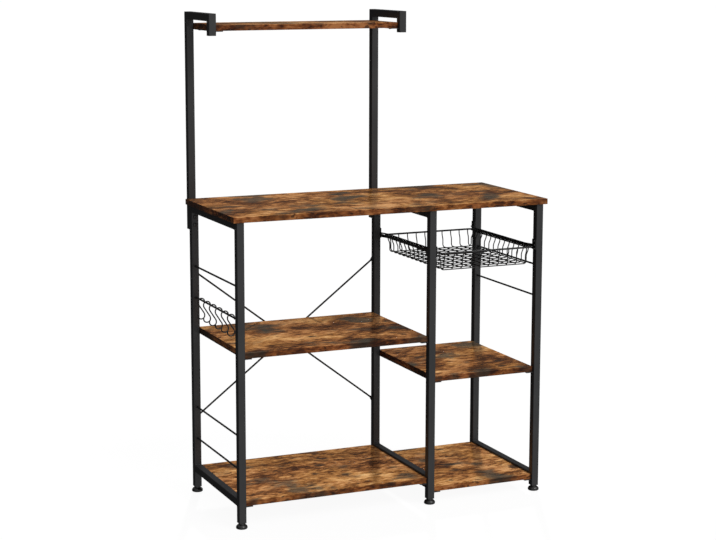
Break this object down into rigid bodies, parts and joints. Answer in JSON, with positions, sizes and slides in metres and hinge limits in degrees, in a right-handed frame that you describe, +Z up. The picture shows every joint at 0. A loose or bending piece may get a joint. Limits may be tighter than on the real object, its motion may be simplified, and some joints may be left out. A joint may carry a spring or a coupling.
{
  "type": "bakers rack",
  "caption": "Freestanding kitchen rack of black square-tube frames with brown wood-look boards, a raised shelf, a sliding wire basket and S-hooks.",
  "frame": {"origin": "on the floor, in the middle of the rack's width and depth", "axes": "+X to the right seen from the front, +Y to the rear, +Z up"},
  "size_m": [0.9, 0.4, 1.315],
  "materials": {
    "frame_steel": "matt black powder coat",
    "board": "satin rustic brown wood-grain laminate on particle board",
    "wire": "satin black powder coat on wire",
    "hardware": "black oxide steel fasteners",
    "plastic": "moulded black plastic"
  },
  "bodies": {
    "rack": {"left_front_leg": "frame_steel", "left_rear_leg": "frame_steel", "left_top_rail": "frame_steel", "left_bottom_rail": "frame_steel", "middle_front_leg": "frame_steel", "middle_rear_leg": "frame_steel", "middle_top_rail": "frame_steel", "middle_bottom_rail": "frame_steel", "right_front_leg": "frame_steel", "right_rear_leg": "frame_steel", "right_top_rail": "frame_steel", "right_bottom_rail": "frame_steel", "left_hutch_upright": "frame_steel", "left_hutch_arm": "frame_steel", "left_hutch_drop": "frame_steel", "middle_hutch_upright": "frame_steel", "middle_hutch_arm": "frame_steel", "middle_hutch_drop": "frame_steel", "left_rungs": "frame_steel", "left_hook_rung": "frame_steel", "right_rungs": "frame_steel", "brace_rod_rising": "frame_steel", "brace_rod_falling": "frame_steel", "shelf_support_bars": "frame_steel", "hutch_support_bars": "frame_steel", "worktop": "board", "left_middle_shelf": "board", "left_bottom_shelf": "board", "right_middle_shelf": "board", "right_bottom_shelf": "board", "hutch_shelf": "board", "left_basket_guide": "wire", "right_basket_guide": "wire", "hutch_bolts": "hardware", "brace_bolts": "hardware", "rivet_nuts": "hardware", "guide_screws": "hardware", "leg_plugs": "plastic", "hutch_plugs": "plastic"},
    "basket": {"basket_rim": "wire", "basket_cross_wires": "wire", "basket_long_wires": "wire", "basket_front_mesh": "wire", "basket_rear_mesh": "wire", "basket_left_mesh": "wire", "basket_right_mesh": "wire"},
    "hook_1_body": {"hook_1": "wire"},
    "hook_2_body": {"hook_2": "wire"},
    "hook_3_body": {"hook_3": "wire"},
    "hook_4_body": {"hook_4": "wire"},
    "hook_5_body": {"hook_5": "wire"},
    "hook_6_body": {"hook_6": "wire"},
    "left_front_foot_body": {"left_front_foot": "plastic"},
    "left_rear_foot_body": {"left_rear_foot": "plastic"},
    "middle_front_foot_body": {"middle_front_foot": "plastic"},
    "middle_rear_foot_body": {"middle_rear_foot": "plastic"},
    "right_front_foot_body": {"right_front_foot": "plastic"},
    "right_rear_foot_body": {"right_rear_foot": "plastic"}
  },
  "joints": [
    {"name": "basket_slide", "type": "slide", "parent": "rack", "child": "basket", "axis": [0, -1, 0], "range_m": [0, 0.26]},
    {"name": "hook_1_swing", "type": "hinge", "parent": "rack", "child": "hook_1_body", "pos_m": [-0.43, -0.1175, 0.547], "axis": [0, 1, 0], "range_deg": [-60, 60]},
    {"name": "hook_2_swing", "type": "hinge", "parent": "rack", "child": "hook_2_body", "pos_m": [-0.43, -0.0705, 0.547], "axis": [0, 1, 0], "range_deg": [-60, 60]},
    {"name": "hook_3_swing", "type": "hinge", "parent": "rack", "child": "hook_3_body", "pos_m": [-0.43, -0.0235, 0.547], "axis": [0, 1, 0], "range_deg": [-60, 60]},
    {"name": "hook_4_swing", "type": "hinge", "parent": "rack", "child": "hook_4_body", "pos_m": [-0.43, 0.0235, 0.547], "axis": [0, 1, 0], "range_deg": [-60, 60]},
    {"name": "hook_5_swing", "type": "hinge", "parent": "rack", "child": "hook_5_body", "pos_m": [-0.43, 0.0705, 0.547], "axis": [0, 1, 0], "range_deg": [-60, 60]},
    {"name": "hook_6_swing", "type": "hinge", "parent": "rack", "child": "hook_6_body", "pos_m": [-0.43, 0.1175, 0.547], "axis": [0, 1, 0], "range_deg": [-60, 60]},
    {"name": "left_front_foot_screw", "type": "slide", "parent": "rack", "child": "left_front_foot_body", "axis": [0, 0, -1], "range_m": [0, 0.012]},
    {"name": "left_rear_foot_screw", "type": "slide", "parent": "rack", "child": "left_rear_foot_body", "axis": [0, 0, -1], "range_m": [0, 0.012]},
    {"name": "middle_front_foot_screw", "type": "slide", "parent": "rack", "child": "middle_front_foot_body", "axis": [0, 0, -1], "range_m": [0, 0.012]},
    {"name": "middle_rear_foot_screw", "type": "slide", "parent": "rack", "child": "middle_rear_foot_body", "axis": [0, 0, -1], "range_m": [0, 0.012]},
    {"name": "right_front_foot_screw", "type": "slide", "parent": "rack", "child": "right_front_foot_body", "axis": [0, 0, -1], "range_m": [0, 0.012]},
    {"name": "right_rear_foot_screw", "type": "slide", "parent": "rack", "child": "right_rear_foot_body", "axis": [0, 0, -1], "range_m": [0, 0.012]}
  ]
}
